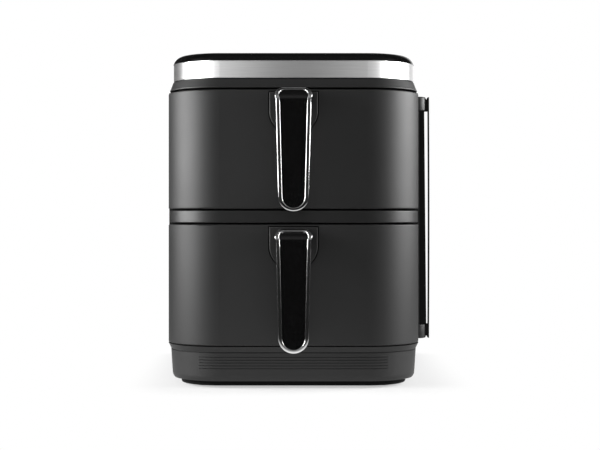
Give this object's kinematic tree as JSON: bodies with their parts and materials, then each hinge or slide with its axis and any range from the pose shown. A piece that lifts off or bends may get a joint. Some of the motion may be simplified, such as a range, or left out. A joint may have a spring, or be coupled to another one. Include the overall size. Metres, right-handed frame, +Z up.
{
  "type": "air fryer",
  "caption": "Double-deck air fryer in a rounded satin case, with stacked pull-out basket drawers, bar handles, a steel band, rear fans and a slim side guard.",
  "frame": {"origin": "middle of the footprint box of the whole object, handles, side guard and rear hood included, on the worktop", "axes": "+Z up, -Y out of the front where the drawers pull out, +X to the right seen from the front"},
  "size_m": [0.305, 0.417, 0.3773],
  "materials": {
    "housing_plastic": "satin moulded plastic, anthracite",
    "black_plastic": "fine matte black",
    "rough_plastic": "deep-textured matte black",
    "handle_plastic": "satin black",
    "gloss_black": "high gloss black",
    "panel_glass": "polished black touch panel",
    "chrome_trim": "bright plated",
    "band_steel": "brushed along its length",
    "sheet_steel": "mill finish",
    "fan_aluminium": "stamped",
    "element_sheath": "oxidised heater sheath",
    "non_stick": "satin non-stick coating",
    "silicone": "soft",
    "foot_rubber": "matte",
    "circuit_board": "solder mask"
  },
  "bodies": {
    "housing": {"rubber_feet": "foot_rubber", "undertray": "rough_plastic", "base_housing": "housing_plastic", "sill_frame": "housing_plastic", "left_side_panel": "housing_plastic", "right_side_panel": "housing_plastic", "front_bezel": "housing_plastic", "neck_ring": "housing_plastic", "top_frame": "black_plastic", "steel_band": "band_steel", "top_cap": "gloss_black", "control_glass": "panel_glass", "control_board": "circuit_board", "power_board": "circuit_board", "rear_bulkhead": "sheet_steel", "rear_cover": "housing_plastic", "rear_cover_screws": "sheet_steel", "cord_gland": "black_plastic", "upper_cavity": "sheet_steel", "lower_cavity": "sheet_steel", "upper_fan_guard": "sheet_steel", "lower_fan_guard": "sheet_steel", "upper_element": "element_sheath", "lower_element": "element_sheath", "upper_motor": "sheet_steel", "lower_motor": "sheet_steel", "temperature_sensors": "sheet_steel", "drawer_sensors": "black_plastic", "outlet_grille": "rough_plastic", "upper_bracket": "housing_plastic", "lower_bracket": "housing_plastic", "upper_clip": "rough_plastic", "lower_clip": "rough_plastic", "guard_strip": "rough_plastic"},
    "upper_drawer": {"upper_drawer_front": "housing_plastic", "upper_drawer_back": "black_plastic", "upper_basket": "non_stick", "upper_handle_root": "housing_plastic", "upper_handle_core": "handle_plastic", "upper_handle_frame": "chrome_trim", "upper_handle_inlay": "gloss_black", "upper_handle_screws": "sheet_steel"},
    "lower_drawer": {"lower_drawer_front": "housing_plastic", "lower_drawer_back": "black_plastic", "lower_basket": "non_stick", "lower_handle_root": "housing_plastic", "lower_handle_core": "handle_plastic", "lower_handle_frame": "chrome_trim", "lower_handle_inlay": "gloss_black", "lower_handle_screws": "sheet_steel"},
    "upper_plate": {"upper_crisper_plate": "non_stick", "upper_plate_bumpers": "silicone"},
    "lower_plate": {"lower_crisper_plate": "non_stick", "lower_plate_bumpers": "silicone"},
    "upper_rotor": {"upper_fan": "fan_aluminium", "upper_motor_shaft": "sheet_steel", "upper_cooling_fan": "fan_aluminium"},
    "lower_rotor": {"lower_fan": "fan_aluminium", "lower_motor_shaft": "sheet_steel", "lower_cooling_fan": "fan_aluminium"}
  },
  "joints": [
    {"name": "upper_drawer_slide", "type": "slide", "parent": "housing", "child": "upper_drawer", "axis": [0, -1, 0], "range_m": [0, 0.22]},
    {"name": "lower_drawer_slide", "type": "slide", "parent": "housing", "child": "lower_drawer", "axis": [0, -1, 0], "range_m": [0, 0.22]},
    {"name": "upper_plate_lift", "type": "slide", "parent": "upper_drawer", "child": "upper_plate", "axis": [0, 0, 1], "range_m": [0, 0.105]},
    {"name": "lower_plate_lift", "type": "slide", "parent": "lower_drawer", "child": "lower_plate", "axis": [0, 0, 1], "range_m": [0, 0.105]},
    {"name": "upper_fan_spin", "type": "hinge", "parent": "housing", "child": "upper_rotor", "pos_m": [-0.0075, 0.1265, 0.2691], "axis": [0, 1, 0], "continuous": true},
    {"name": "lower_fan_spin", "type": "hinge", "parent": "housing", "child": "lower_rotor", "pos_m": [-0.0075, 0.1265, 0.1169], "axis": [0, 1, 0], "continuous": true}
  ]
}
